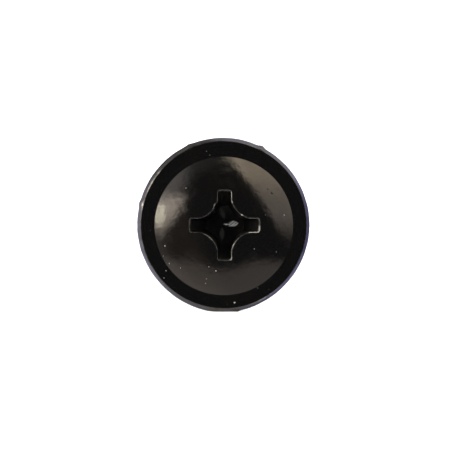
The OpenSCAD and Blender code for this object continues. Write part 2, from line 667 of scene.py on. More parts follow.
@dataclass
class ThreadedShank:
    """The neck, the core with its tapered point, and the rolled right-hand thread."""

    head: WasherHead
    lie: float
    length: float = 19.0
    neck_l: float = 0.7
    neck_taper: float = 0.4
    point_l: float = 3.7
    tip_r: float = 0.1
    thread_r: float = 2.1
    core_r: float = 1.55
    pitch: float = 1.4
    crest_half: float = 0.05
    half_angle: float = 30.0
    fade_l: float = 0.4667
    ridge_sink: float = 0.06
    point_share: float = 0.86
    root_blend: float = 0.05
    tip_cut: float = 0.05
    tip_share: float = 0.7
    spare_turns: int = 3
    steps: int = 96
    half_offsets: tuple[float, ...] = (
        0.025, 0.05, 0.08, 0.12, 0.17, 0.23, 0.29, 0.34, 0.39, 0.46, 0.54, 0.62, 0.7,
    )

    @property
    def full_l(self) -> float:
        """Depth at which the point starts."""
        return self.length - self.point_l

    @property
    def crest_depth(self) -> float:
        """Depth of the crest on which the screw lies, from the angle at which it lies."""
        rim_r = self.head.rim_r
        rise = self.head.head_r - rim_r - self.thread_r
        return (rise * math.cos(self.lie) + rim_r) / math.sin(self.lie) - self.head.rim_z

    def tapered(self, radius: float, depth: float) -> float:
        """Returns a radius that tapers to the tip along the point."""
        share = clamp((depth - self.full_l) / self.point_l)
        return radius + (self.tip_r - radius) * share

    def core_at(self, depth: float) -> float:
        """Returns the radius of the neck and the core at a depth."""
        neck = self.head.neck_r
        share = clamp((depth - self.neck_l) / self.neck_taper)
        return self.tapered(neck + (self.core_r - neck) * share, depth)

    def radius_at(self, turn: float, depth: float) -> float:
        """Gives the radius of the threaded surface.

        Args:
            turn: angle about the axis in degrees.
            depth: depth below the bearing face.

        Returns:
            The radius.
        """
        phase = self.crest_depth - self.pitch * (turn + 90) / 360
        crest_depth = phase + self.pitch * round((depth - phase) / self.pitch)
        start = (crest_depth - self.neck_l) / self.fade_l
        end = (self.full_l + self.point_share * self.point_l - crest_depth) / self.fade_l
        share = clamp(min(start, end))
        sunk = self.tapered(self.core_r, crest_depth) - self.ridge_sink
        crest = sunk + (self.tapered(self.thread_r, crest_depth) - sunk) * share
        off = math.hypot(depth - crest_depth, self.crest_half) - self.crest_half
        ridge = crest - off / slope(self.half_angle)
        return smooth_max(self.core_at(depth), ridge, self.root_blend)

    def wound(self, point: Vector) -> Vector:
        """Returns where a point of the wound band goes on the threaded surface."""
        turn = math.atan2(point.y, point.x)
        radius = self.radius_at(math.degrees(turn), -point.z)
        return Vector((radius * math.cos(turn), radius * math.sin(turn), point.z))

    def build(self) -> bpy.types.Object:
        """Winds one pitch of the section along the shank and shapes the ridge.

        Returns:
            The shank, open at the neck.
        """
        below = math.ceil((self.length - self.crest_depth) / self.pitch + 1)
        low = -self.crest_depth - self.pitch * below
        offsets = [-d for d in reversed(self.half_offsets)] + [0.0, *self.half_offsets]
        points = [(0.0, -self.core_r, low + offset) for offset in offsets]
        shank = start_vertex("screw_shank", points[0])
        trace(points[0], points[1:])
        close_mesh()
        helix = shank.modifiers.new("helix", "SCREW")
        helix.axis = "Z"
        helix.angle = 2 * math.pi
        helix.screw_offset = self.pitch
        helix.iterations = math.ceil(self.length / self.pitch) + self.spare_turns
        helix.steps = self.steps
        helix.render_steps = self.steps
        bpy.ops.object.modifier_apply(modifier=helix.name)
        open_mesh(shank)
        weld()
        reshape(shank, self.wound)
        self.trim(shank)
        close_mesh()
        return shank

    def trim(self, shank: bpy.types.Object) -> None:
        """Cuts the wound surface off at the neck and closes it with a small blunt tip.

        Args:
            shank: the shank in edit mode.
        """
        top = -self.head.seam_depth - self.head.support
        low = -self.length + self.tip_cut
        for height, outwards in ((top, 1.0), (low, -1.0)):
            place, normal = (0.0, 0.0, height), (0.0, 0.0, outwards)
            bpy.ops.mesh.select_all(action="SELECT")
            bpy.ops.mesh.bisect(plane_co=place, plane_no=normal, clear_outer=True)
        pick_edges(
            shank,
            lambda edge: edge.is_boundary and all(abs(v.co.z - low) < NEAR for v in edge.verts),
        )
        bpy.ops.mesh.extrude_region_move()
        share = self.tip_share
        ring_z = low - share * self.tip_cut
        reshape(
            shank,
            lambda point: Vector((point.x * share, point.y * share, ring_z)),
            selected=True,
        )
        rest = (share - 1) * self.tip_cut
        bpy.ops.mesh.extrude_region_move(TRANSFORM_OT_translate={"value": (0.0, 0.0, rest)})
        bpy.ops.mesh.merge(type="CENTER")


@dataclass(frozen=True)
class RimStretch:
    """A stretch of the flange's rim that is out of round or worn, about a turn in degrees."""

    turn: float
    amount: float
    half_width: float

    def at(self, turn: float) -> float:
        """Returns how strong it is at a turn about the axis in degrees."""
        away = (turn - self.turn + 180) % 360 - 180
        return self.amount * math.exp(-((away / self.half_width) ** 2))


def all_at(stretches: Sequence[RimStretch], turn: float) -> float:
    """Returns how strong several stretches are together at a turn in degrees."""
    return sum(stretch.at(turn) for stretch in stretches)


@dataclass(frozen=True)
class EdgeSpot:
    """A stretch of the recess's edge, in millimetres: a chip that a driver bit broke, and worn
    spots that are also painted highlights.
    """

    x: float
    y: float
    reach: float
    amount: float
    full_share: float = 0.6

    def at(self, point: Vector) -> float:
        """Returns how worn a point is."""
        away = math.hypot(point.x - self.x, point.y - self.y)
        return self.amount * (1 - ease(away, self.full_share * self.reach, self.reach))


@dataclass
class ScrewBody:
    """The whole screw: head, recess and shank in one closed mesh."""

    pose: Pose
    head: WasherHead = field(default_factory=WasherHead)
    burrs: tuple[RimStretch, ...] = (
        RimStretch(turn=63.5, amount=0.1, half_width=1.9),
        RimStretch(turn=113.2, amount=0.05, half_width=2.2),
        RimStretch(turn=165.4, amount=0.05, half_width=1.8),
    )
    ragged: float = 0.012
    rag_scale: float = 2.1
    burr_reach: Point2 = (-0.04, 0.08)
    burr_heights: Point2 = (0.05, 0.3)
    swells: tuple[RimStretch, ...] = (
        RimStretch(turn=-90.0, amount=0.1, half_width=32.0),
        RimStretch(turn=95.0, amount=0.04, half_width=30.0),
    )
    drawn_in: tuple[RimStretch, ...] = (
        RimStretch(turn=-96.0, amount=-0.055, half_width=20.0),
    )
    # Worn stretches along the rim's upper edge that also paint its bright highlight line.
    rubbed_and_lit: tuple[RimStretch, ...] = (
        RimStretch(turn=143.0, amount=0.9, half_width=2.5),
        RimStretch(turn=152.0, amount=0.8, half_width=5.5),
        RimStretch(turn=167.0, amount=0.8, half_width=2.5),
        RimStretch(turn=68.0, amount=0.12, half_width=7.0),
        RimStretch(turn=-62.0, amount=0.25, half_width=8.0),
    )
    # Bare spots on the mouth's edge, worn by the driver bit and raised into pale painted
    # highlights.
    worn_and_lit_spots: tuple[EdgeSpot, ...] = (
        EdgeSpot(x=0.45, y=1.92, reach=0.26, amount=1.0),
        EdgeSpot(x=0.43, y=1.6, reach=0.26, amount=0.8),
        EdgeSpot(x=1.72, y=-0.42, reach=0.24, amount=1.0),
        EdgeSpot(x=2.0, y=-0.42, reach=0.24, amount=1.0),
        EdgeSpot(x=2.2, y=-0.22, reach=0.2, amount=0.7),
        EdgeSpot(x=1.1, y=0.66, reach=0.08, amount=1.0),
        EdgeSpot(x=0.52, y=-1.3, reach=0.3, amount=0.7),
        EdgeSpot(x=0.75, y=-1.0, reach=0.35, amount=0.35),
        EdgeSpot(x=0.48, y=-1.75, reach=0.3, amount=0.35),
        EdgeSpot(x=0.42, y=-2.12, reach=0.14, amount=0.8),
        EdgeSpot(x=1.9, y=0.42, reach=0.5, amount=0.15),
        EdgeSpot(x=-1.05, y=-0.8, reach=0.45, amount=0.3),
        EdgeSpot(x=-0.53, y=1.12, reach=0.2, amount=0.4),
    )
    chip: EdgeSpot = EdgeSpot(x=-0.5, y=1.2, reach=0.22, amount=0.09)
    chip_from_r: float = 0.5
    # Wear along the whole mouth's edge, set pale enough to paint its thin highlight line.
    edge_wear_and_highlight: float = 0.075
    edge_fade: float = 1.5
    mouth_margin: float = 0.2
    recess_low: float = -1.0
    deep_fade: Point2 = (0.05, 0.3)
    crest_wear: float = 0.35
    crest_fade: Point2 = (0.8, 1.0)
    least_crest: float = 0.02
    rim_wear: float = 0.04
    rub_and_light_fade: Point2 = (1.0, 2.0)
    lip_left_fade: Point2 = (-0.35, 0.45)
    lip_right_fade: Point2 = (-0.1, 0.12)
    lip_low_fade: Point2 = (0.06, 0.2)
    lip_high_fade: float = 0.1
    floor_gap: float = 0.004
    neck_wall: float = 0.1
    smooth_angle: float = 34.0

    def build(self) -> bpy.types.Object:
        """Models the parts, bridges them and lays the screw down.

        Returns:
            The finished piece.
        """
        recess = CrossRecess(self.head)
        body = recess.cut_into(self.head.build())
        shank = ThreadedShank(self.head, self.pose.lie)
        body = join(body, shank.build())
        body.name = "screw_body"
        body.data.name = "screw_body"
        open_mesh(body)
        pick_edges(body, lambda edge: edge.is_boundary)
        bpy.ops.mesh.bridge_edge_loops()
        weld()
        bpy.ops.mesh.normals_make_consistent(inside=False)
        close_mesh()
        self.mark(body, recess, shank)
        open_mesh(body)
        for moved in (self.roughened, self.pressed, self.chipped, self.shifted):
            reshape(body, moved)
        close_mesh()
        bpy.ops.object.shade_smooth_by_angle(angle=math.radians(self.smooth_angle))
        self.pose.lay_down(body)
        return body

    def roughened(self, point: Vector) -> Vector:
        """Makes the rim slightly oval and ragged, with burrs and a wider band at its bottom.

        Args:
            point: a point of the upright screw.

        Returns:
            Where it goes.
        """
        head = self.head
        radius = math.hypot(point.x, point.y)
        if radius < head.dome_edge_r or point.z < 0:
            return point
        turn = math.degrees(math.atan2(point.y, point.x))
        trimmed = ease(radius - head.flat_end, *self.burr_reach) * ease(point.z, *self.burr_heights)
        rag = self.ragged * noise.noise(point * self.rag_scale)
        flat = ease(radius, head.dome_edge_r, head.flat_end - head.support)
        upper = clamp((point.z - head.band_z) / (head.flange_t - head.band_z))
        lift = trimmed * (rag + all_at(self.burrs, turn))
        lift += flat * all_at(self.swells, turn)
        lift += flat * upper * all_at(self.drawn_in, turn)
        push = 1 + lift / radius
        return Vector((point.x * push, point.y * push, point.z))

    def pressed(self, point: Vector) -> Vector:
        """Draws the flash left by trimming the rim down to the floor that it lies on.

        Args:
            point: a point of the upright screw.

        Returns:
            Where it goes.
        """
        head = self.head
        x, y, z = point
        if y > -head.head_r + head.rim_bulge + head.support or z < 0:
            return point
        left, right = head.lip_x - head.lip_w / 2, head.lip_x + head.lip_w / 2
        across = ease(x - left, *self.lip_left_fade) * (1 - ease(x - right, *self.lip_right_fade))
        lip_t = head.lip_share * head.flange_t
        along = ease(z, *self.lip_low_fade) * (1 - ease(z, lip_t, lip_t + self.lip_high_fade))
        drop = y + self.pose.floor_at(z) - self.floor_gap
        return Vector((x, y - drop * (across * along if drop > 0 else 1.0), z))

    def chipped(self, point: Vector) -> Vector:
        """Breaks a little of the recess's edge away from its axis.

        Args:
            point: a point of the upright screw.

        Returns:
            Where it goes.
        """
        radius = math.hypot(point.x, point.y)
        if point.z < self.head.flange_t or radius < self.chip_from_r:
            return point
        push = 1 + self.chip.at(point) / radius
        return Vector((point.x * push, point.y * push, point.z))

    def shifted(self, point: Vector) -> Vector:
        """Sets the dome and the recess slightly off centre, as the blows left them.

        Args:
            point: a point of the upright screw.

        Returns:
            Where it goes.
        """
        head = self.head
        radius = math.hypot(point.x, point.y)
        on_top = point.z > head.flange_t / 2
        in_neck = point.z > -2 * head.neck_fillet and radius < head.neck_r - self.neck_wall
        return point + head.shift_at(radius).to_3d() if on_top or in_neck else point

    def mark(self, body: bpy.types.Object, recess: CrossRecess, shank: ThreadedShank) -> None:
        """Stores at each vertex how worn the coat is, which also carries the painted highlights on
        the mouth's and rim's edges, and how deep in the recess it lies.

        Args:
            body: the upright screw.
            recess: the recess, for its mouth.
            shank: the shank, for its crests.
        """
        mouth = recess.loops()[1]
        wear_and_highlight = body.data.attributes.new(WEAR_AND_HIGHLIGHT, "FLOAT", "POINT")
        deep = body.data.attributes.new(DEEP, "FLOAT", "POINT")
        for vertex, worn, sunk in zip(body.data.vertices, wear_and_highlight.data, deep.data):
            point = vertex.co
            radius = math.hypot(point.x, point.y)
            if point.z > self.recess_low and radius < recess.width / 2 + self.mouth_margin:
                near = min((point - spot).length for spot in mouth)
                # The mouth's edge is worn to pale steel, which also paints its highlights.
                amount = max(self.edge_wear_and_highlight, *(spot.at(point) for spot in self.worn_and_lit_spots))
                worn.value = amount * (1 - ease(near / recess.edge_r, 1.0, self.edge_fade))
                sunk.value = ease(self.head.dome_at(radius) - point.z, *self.deep_fade)
            elif point.z < -shank.neck_l:
                core = shank.tapered(shank.core_r, -point.z)
                crest = shank.tapered(shank.thread_r, -point.z)
                height = (radius - core) / max(crest - core, self.least_crest)
                worn.value = self.crest_wear * ease(height, *self.crest_fade)
            elif radius > self.head.flat_end - self.head.rim_edge_r / 2:
                turn = math.degrees(math.atan2(point.y, point.x))
                below = (self.head.flange_t - point.z) / self.head.rim_edge_r
                # Rim stretches rubbed to pale steel, which also paints the rim's bright highlight
                # line.
                rubs_and_lit = all_at(self.rubbed_and_lit, turn)
                worn.value = self.rim_wear + rubs_and_lit * (1 - ease(below, *self.rub_and_light_fade))


@dataclass(frozen=True)
class Nib:
    """A speck on the head: where it sits across the head and how wide it is, in millimetres."""

    x: float
    y: float
    width: float
    kind: NibKind = NibKind.DUST_AND_GLINT


@dataclass
class CoatNibs:
    """Specks that stand out of the coat on the head: pale dust on it, which also paints the tiny
    highlights of lumps, and dust under it.
    """

    pose: Pose
    head: WasherHead
    # Pale specks here are partly dust and partly painted highlights of tiny lumps.
    seen: tuple[Nib, ...] = (
        Nib(x=0.73, y=-4.97, width=0.13),
        Nib(x=-0.46, y=-2.94, width=0.1),
        Nib(x=-0.92, y=-2.68, width=0.065),
        Nib(x=-3.7, y=-1.36, width=0.1),
        Nib(x=-3.43, y=-2.49, width=0.095),
        Nib(x=-3.63, y=-2.94, width=0.078),
        Nib(x=-3.76, y=-3.4, width=0.08),
        Nib(x=-2.72, y=-2.76, width=0.07),
        Nib(x=-1.06, y=-3.45, width=0.07),
        Nib(x=-1.12, y=-3.75, width=0.062),
        Nib(x=1.97, y=-1.55, width=0.076),
        Nib(x=3.37, y=-1.74, width=0.06),
        Nib(x=2.19, y=-4.04, width=0.05),
        Nib(x=3.87, y=0.6, width=0.08),
        Nib(x=-1.07, y=4.66, width=0.052),
        Nib(x=-0.85, y=4.42, width=0.055),
        Nib(x=-2.36, y=2.32, width=0.08),
        Nib(x=3.1, y=2.0, width=0.18, kind=NibKind.COAT),
        Nib(x=2.83, y=2.25, width=0.12, kind=NibKind.COAT),
    )
    strays: int = 26
    stray_from_r: float = 2.5
    stray_margin: float = 0.1
    stray_widths: Point2 = (0.025, 0.05)
    seed: int = 11
    squash: float = 0.85
    flatness: float = 0.5
    ruggedness: float = 0.07

    def scatter(self) -> list[Nib]:
        """Gives small specks strewn over the head.

        Returns:
            The specks, the same on every run.
        """
        dice = random.Random(self.seed)
        stray_to_r = self.head.head_r - self.head.rim_bulge - self.stray_margin
        strewn = []
        for _ in range(self.strays):
            radius = math.sqrt(dice.uniform(self.stray_from_r**2, stray_to_r**2))
            turn = dice.uniform(0, 2 * math.pi)
            kind = dice.choice((NibKind.DUST_AND_GLINT, NibKind.COAT, NibKind.COAT))
            width = dice.uniform(*self.stray_widths)
            strewn.append(Nib(radius * math.cos(turn), radius * math.sin(turn), width, kind))
        return strewn

    def mould(self) -> bpy.types.Object:
        """Models one speck of unit width: a squat, uneven lump.

        Returns:
            The speck that the others are copied from.
        """
        bpy.ops.mesh.primitive_ico_sphere_add(subdivisions=2, radius=0.5, location=(0.0, 0.0, 0.0))
        lump = bpy.context.view_layer.objects.active
        open_mesh(lump)
        bpy.ops.mesh.select_all(action="SELECT")
        bpy.ops.transform.vertex_random(offset=self.ruggedness, seed=self.seed)
        bpy.ops.transform.resize(value=(1.0, self.squash, self.flatness))
        close_mesh()
        bpy.ops.object.shade_smooth()
        return lump

    def copy_to(self, lump: bpy.types.Object, nib: Nib) -> bpy.types.Object:
        """Copies the speck to its place on the head's surface.

        Args:
            lump: the speck of unit width.
            nib: where it goes.

        Returns:
            The copy, with a mesh of its own.
        """
        copy = lump.copy()
        copy.data = lump.data.copy()
        bpy.context.scene.collection.objects.link(copy)
        x, y = Vector((nib.x, nib.y)) - self.head.shift_at(math.hypot(nib.x, nib.y))
        radius = math.hypot(x, y)
        on_dome = radius < self.head.dome_edge_r
        height = self.head.top_at(radius)
        normal = Vector((x, y, height - self.head.dome_z)) if on_dome else Vector((0.0, 0.0, 1.0))
        take(copy)
        copy.location = (nib.x, nib.y, height)
        copy.rotation_euler = normal.to_track_quat("Z", "Y").to_euler()
        copy.scale = (nib.width, nib.width, nib.width)
        bpy.ops.object.transform_apply(location=True, rotation=True, scale=True)
        return copy

    def build(self) -> dict[NibKind, bpy.types.Object]:
        """Copies the specks over the head and lays them down with it.

        Returns:
            One piece for each kind.
        """
        lump = self.mould()
        nibs = [*self.seen, *self.scatter()]
        pieces = {}
        for kind in NibKind:
            piece = join(*(self.copy_to(lump, nib) for nib in nibs if nib.kind is kind))
            piece.name = f"{kind.value}_nibs"
            piece.data.name = piece.name
            self.pose.lay_down(piece)
            pieces[kind] = piece
        bpy.data.objects.remove(lump)
        return pieces


class NodePad:
    """Adds and links the nodes of one tree."""

    MIX_SHARE, MIX_FIRST, MIX_SECOND, MIX_RESULT = 0, 6, 7, 2

    def __init__(self, tree: bpy.types.NodeTree) -> None:
        """Starts on a tree, which is emptied."""
        self.tree = tree
        self.tree.nodes.clear()

    def add(self, kind: str, **values: object) -> bpy.types.Node:
        """Adds a node and sets its properties.

        Args:
            kind: the node's type.
            values: its properties.

        Returns:
            The node.
        """
        node = self.tree.nodes.new(kind)
        for name, value in values.items():
            setattr(node, name, value)
        return node

    def feed(self, socket: bpy.types.NodeSocket, source: object) -> None:
        """Links a socket to another, or sets its value.

        Args:
            socket: the input.
            source: an output socket or a plain value.
        """
        if isinstance(source, bpy.types.NodeSocket):
            self.tree.links.new(source, socket)
        else:
            socket.default_value = source

    def math(self, operation: str, *terms: object) -> bpy.types.NodeSocket:
        """Adds a Math node on its terms and returns its output."""
        node = self.add("ShaderNodeMath", operation=operation)
        for socket, term in zip(node.inputs, terms):
            self.feed(socket, term)
        return node.outputs[0]

    def fill(self, node: bpy.types.Node, sources: dict[str, object]) -> None:
        """Feeds several inputs of a node by their names."""
        for name, source in sources.items():
            self.feed(node.inputs[name], source)

    def ramp(
        self, value: object, low: float, high: float, to: Point2 = (0.0, 1.0)
    ) -> bpy.types.NodeSocket:
        """Maps a value smoothly from one range to another.

        Args:
            value: the input.
            low: start of the range.
            high: end of the range.
            to: the values at the two ends.

        Returns:
            The output.
        """
        node = self.add("ShaderNodeMapRange", interpolation_type="SMOOTHSTEP")
        self.fill(node, {"Value": value, "From Min": low, "From Max": high})
        self.fill(node, {"To Min": to[0], "To Max": to[1]})
        return node.outputs["Result"]

    def noise(
        self, vector: object, scale: object, detail: float, rough: float
    ) -> bpy.types.NodeSocket:
        """Adds a noise texture.

        Args:
            vector: its coordinates.
            scale: its scale.
            detail: its number of octaves.
            rough: how strong the finer octaves are.

        Returns:
            Its value.
        """
        node = self.add("ShaderNodeTexNoise")
        self.fill(node, {"Vector": vector, "Scale": scale, "Detail": detail, "Roughness": rough})
        return node.outputs["Fac"]

    def blend(self, share: object, first: object, second: object) -> bpy.types.NodeSocket:
        """Mixes two colours by a share and returns the result."""
        node = self.add("ShaderNodeMix", data_type="RGBA")
        self.feed(node.inputs[self.MIX_SHARE], share)
        self.feed(node.inputs[self.MIX_FIRST], first)
        self.feed(node.inputs[self.MIX_SECOND], second)
        return node.outputs[self.MIX_RESULT]

    def upright(self, pose: Pose) -> bpy.types.NodeSocket:
        """Gives coordinates on the upright screw in millimetres.

        Args:
            pose: how the screw lies.

        Returns:
            The coordinates.
        """
        place = self.add("ShaderNodeTexCoord")
        turn = self.add("ShaderNodeMapping", vector_type="TEXTURE")
        self.fill(turn, {"Vector": place.outputs["Object"], "Location": pose.origin})
        self.fill(turn, {"Rotation": (pose.turn, 0.0, 0.0), "Scale": (MM, MM, MM)})
        return turn.outputs["Vector"]


def new_surface(name: str) -> tuple[bpy.types.Material, NodePad, bpy.types.Node]:
    """Makes a material with one surface shader.

    Args:
        name: the material's name.

    Returns:
        The material, its nodes and its shader.
    """
    material = bpy.data.materials.new(name)
    material.use_nodes = True
    pad = NodePad(material.node_tree)
    out = pad.add("ShaderNodeOutputMaterial")
    shader = pad.add("ShaderNodeBsdfPrincipled")
    pad.feed(out.inputs["Surface"], shader.outputs["BSDF"])
    return material, pad, shader


@dataclass(frozen=True)
class Cloud:
    """A layer of soft noise: how fine and how rough it is, and which part of it shows."""

    scale: float
    detail: float
    rough: float
    low: float = 0.0
    high: float = 1.0
    to: Point2 = (0.0, 1.0)

    def spread(
        self, pad: NodePad, place: object, size: bpy.types.NodeSocket | None = None
    ) -> bpy.types.NodeSocket:
        """Adds the noise to a tree.

        Args:
            pad: the tree's nodes.
            place: the noise's coordinates.
            size: how many times larger its grains are.

        Returns:
            The plain noise.
        """
        scale = self.scale if size is None else pad.math("DIVIDE", self.scale, size)
        return pad.noise(place, scale, self.detail, self.rough)

    def shown(self, pad: NodePad, plain: bpy.types.NodeSocket) -> bpy.types.NodeSocket:
        """Returns the part of the plain noise that shows."""
        return pad.ramp(plain, self.low, self.high, self.to)


class SharedEffects:
    """Node groups that the finishes share: handling marks and the coat's grain."""

    WIDE = Cloud(scale=0.9, detail=4.0, rough=0.6, low=0.42, high=0.7)
    FINE = Cloud(scale=3.2, detail=3.0, rough=0.6, low=0.55, high=0.8, to=(0.0, 0.5))
    CAST = Cloud(scale=0.6, detail=2.0, rough=0.5, low=0.45, high=0.75)
    PEEL = Cloud(scale=2.6, detail=2.0, rough=0.5)
    GRIT = Cloud(scale=14.0, detail=2.0, rough=0.6)
    GRIT_HEIGHT = 0.12

    def __init__(self, pose: Pose) -> None:
        """Builds the groups for a screw that lies as given."""
        self.pose = pose
        self.smudges = self.build_smudges()
        self.grain = self.build_grain()

    @staticmethod
    def new_group(name: str, inputs: Sequence[str], outputs: Sequence[str]) -> bpy.types.NodeTree:
        """Makes an empty group with named sockets for plain values.

        Args:
            name: the group's name.
            inputs: names of the inputs, which start at 1.
            outputs: names of the outputs.

        Returns:
            The group.
        """
        group = bpy.data.node_groups.new(name, "ShaderNodeTree")
        for label in inputs:
            socket = group.interface.new_socket(label, in_out="INPUT", socket_type=VALUE_SOCKET)
            socket.default_value = 1.0
        for label in outputs:
            group.interface.new_socket(label, in_out="OUTPUT", socket_type=VALUE_SOCKET)
        return group

    def build_smudges(self) -> bpy.types.NodeTree:
        """Builds cloudy handling marks and a brownish cast in the coat."""
        group = self.new_group("coat_smudges", ("Size",), ("Smudge", "Cast"))
        pad = NodePad(group)
        source = pad.add("NodeGroupInput")
        sink = pad.add("NodeGroupOutput")
        place = pad.upright(self.pose)
        wide, fine, cast = (
            layer.shown(pad, layer.spread(pad, place, source.outputs["Size"]))
            for layer in (self.WIDE, self.FINE, self.CAST)
        )
        pad.fill(sink, {"Smudge": pad.math("ADD", wide, fine), "Cast": cast})
        return group

    def build_grain(self) -> bpy.types.NodeTree:
        """Builds the fine unevenness of a sprayed or dipped coat."""
        group = self.new_group("coat_grain", ("Size",), ("Height",))
        pad = NodePad(group)
        source = pad.add("NodeGroupInput")
        sink = pad.add("NodeGroupOutput")
        place = pad.upright(self.pose)
        peel = self.PEEL.spread(pad, place, source.outputs["Size"])
        grit = self.GRIT.spread(pad, place, source.outputs["Size"])
        height = pad.math("ADD", peel, pad.math("MULTIPLY", grit, self.GRIT_HEIGHT))
        pad.feed(sink.inputs["Height"], height)
        return group


@dataclass(frozen=True)
class GlintScuff:
    """A lens-shaped pale patch on the recess's bottom, in millimetres: a driver bit's scuff,
    painted pale and matt as the painted glint and faint painted reflections that the front lamp
    lights.
    """

    centre: Point2
    half_length: float
    half_width: float
    turn: float
    strength: float
    border: Point2 = (0.7, 1.05)
    hatch: float = 3.9
    slant: float = -1.6
    groove: Point2 = (-0.8, 0.4)
    groove_share: float = 0.2

    def mask(self, pad: NodePad, place: bpy.types.NodeSocket) -> bpy.types.NodeSocket:
        """Builds the scuff's mask.

        Args:
            pad: the material's nodes.
            place: coordinates on the upright screw.

        Returns:
            The share of pale paint on the scuff, the painted glint.
        """
        turned = pad.add("ShaderNodeMapping", vector_type="TEXTURE")
        pad.fill(turned, {"Vector": place, "Location": (*self.centre, 0.0)})
        pad.fill(turned, {"Rotation": (0.0, 0.0, math.radians(self.turn))})
        axes = pad.add("ShaderNodeSeparateXYZ")
        pad.feed(axes.inputs[0], turned.outputs["Vector"])
        along = pad.math("DIVIDE", axes.outputs["X"], self.half_length)
        across = pad.math("DIVIDE", pad.math("ABSOLUTE", axes.outputs["Y"]), self.half_width)
        inside = pad.math("ADD", pad.math("MULTIPLY", along, along), across)
        lens = pad.ramp(inside, *self.border, (self.strength, 0.0))
        aside = pad.math("MULTIPLY", axes.outputs["Y"], self.slant)
        slanted = pad.math("ADD", axes.outputs["X"], aside)
        wave = pad.math("SINE", pad.math("MULTIPLY", slanted, self.hatch * 2 * math.pi))
        return pad.math("MULTIPLY", lens, pad.ramp(wave, *self.groove, (self.groove_share, 1.0)))


@dataclass(frozen=True)
class GlossBlackCoat:
    """Gloss black coat on steel, worn to the metal on its sharpest edges, with pale painted
    highlights on some edges and a painted glint in the recess.
    """

    effects: SharedEffects
    # Pale patches on the recess's bottom: the first three are a painted glint, the last two faint
    # painted reflections.
    glint_scuffs: tuple[GlintScuff, ...] = (
        GlintScuff(centre=(0.62, 0.05), half_length=0.38, half_width=0.2, turn=7.0, strength=0.55),
        GlintScuff(centre=(0.16, 0.02), half_length=0.16, half_width=0.06, turn=-4.0, strength=0.8),
        GlintScuff(centre=(0.6, -0.05), half_length=0.34, half_width=0.05, turn=15.0, strength=0.35),
        GlintScuff(centre=(-0.06, 0.7), half_length=0.42, half_width=0.18, turn=110, strength=0.035),
        GlintScuff(centre=(-0.08, -0.6), half_length=0.45, half_width=0.17, turn=90, strength=0.045),
    )
    patches: Cloud = Cloud(scale=2.4, detail=4.0, rough=0.65, low=0.36, high=0.6, to=(0.25, 1.0))
    black: Colour = (0.002, 0.002, 0.002, 1.0)
    brown: Colour = (0.0024, 0.0021, 0.002, 1.0)
    steel_and_highlight: Colour = (0.42, 0.41, 0.38, 1.0)
    # Pale colour of the painted glint in the recess.
    glint_pale: Colour = (0.45, 0.45, 0.44, 1.0)
    gloss: float = 0.13
    smudged: float = 0.26
    most_smudge: float = 1.2
    dull: float = 0.45
    worn: float = 0.38
    bright: float = 0.45
    peel_mm: float = 0.02
    peel_strength: float = 0.6
    ior: float = 1.5

    def make(self) -> bpy.types.Material:
        """Builds the material.

        Returns:
            The material.
        """
        material, pad, shader = new_surface("gloss_black_coat")
        smudge = pad.add("ShaderNodeGroup", node_tree=self.effects.smudges)
        grain = pad.add("ShaderNodeGroup", node_tree=self.effects.grain)
        place = pad.upright(self.effects.pose)
        wear_and_highlight = pad.add("ShaderNodeAttribute", attribute_name=WEAR_AND_HIGHLIGHT)
        deep = pad.add("ShaderNodeAttribute", attribute_name=DEEP)
        patchy = self.patches.shown(pad, self.patches.spread(pad, place))
        # Bare pale steel on worn edges, partly real wear and partly painted highlight that the
        # front lamp lights.
        bare_and_lit = pad.math("MULTIPLY", wear_and_highlight.outputs["Fac"], patchy)
        coat = pad.blend(smudge.outputs["Cast"], self.black, self.brown)
        colour = pad.blend(bare_and_lit, coat, self.steel_and_highlight)
        # Painted glint and painted reflections: pale matt scuffs that the front lamp lights in the
        # recess.
        for glint_scuff in self.glint_scuffs:
            share = pad.math("MULTIPLY", glint_scuff.mask(pad, place), deep.outputs["Fac"])
            colour = pad.blend(share, colour, self.glint_pale)
        cloudy = (self.gloss, self.smudged)
        rough = pad.ramp(smudge.outputs["Smudge"], 0.0, self.most_smudge, cloudy)
        worn = pad.math("MULTIPLY", bare_and_lit, self.worn - self.gloss)
        dull = pad.math("MULTIPLY", deep.outputs["Fac"], self.dull - self.gloss)
        rough = pad.math("ADD", rough, pad.math("MAXIMUM", worn, dull))
        metal = pad.math("MULTIPLY", bare_and_lit, self.bright)
        pad.fill(shader, {"Base Color": colour, "Metallic": metal, "Roughness": rough})
        bump = pad.add("ShaderNodeBump")
        pad.fill(bump, {"Strength": self.peel_strength, "Distance": self.peel_mm * MM})
        pad.feed(bump.inputs["Height"], grain.outputs["Height"])
        pad.fill(shader, {"Normal": bump.outputs["Normal"], "IOR": self.ior})
        return material


@dataclass(frozen=True)
class DustAndGlintSpeck:
    """Dry pale dust that stuck to the coat, also a painted highlight standing for the glints that
    tiny lumps in the coat catch.
    """

    effects: SharedEffects
    pale: Colour = (0.23, 0.226, 0.222, 1.0)
    grey: Colour = (0.1, 0.098, 0.096, 1.0)
    grain_size: float = 0.3
    dry: float = 0.8

    def make(self) -> bpy.types.Material:
        """Builds the material.

        Returns:
            The material.
        """
        material, pad, shader = new_surface("dust_and_glint_speck")
        smudge = pad.add("ShaderNodeGroup", node_tree=self.effects.smudges)
        pad.feed(smudge.inputs["Size"], self.grain_size)
        colour = pad.blend(smudge.outputs["Smudge"], self.pale, self.grey)
        pad.fill(shader, {"Base Color": colour, "Roughness": self.dry})
        return material


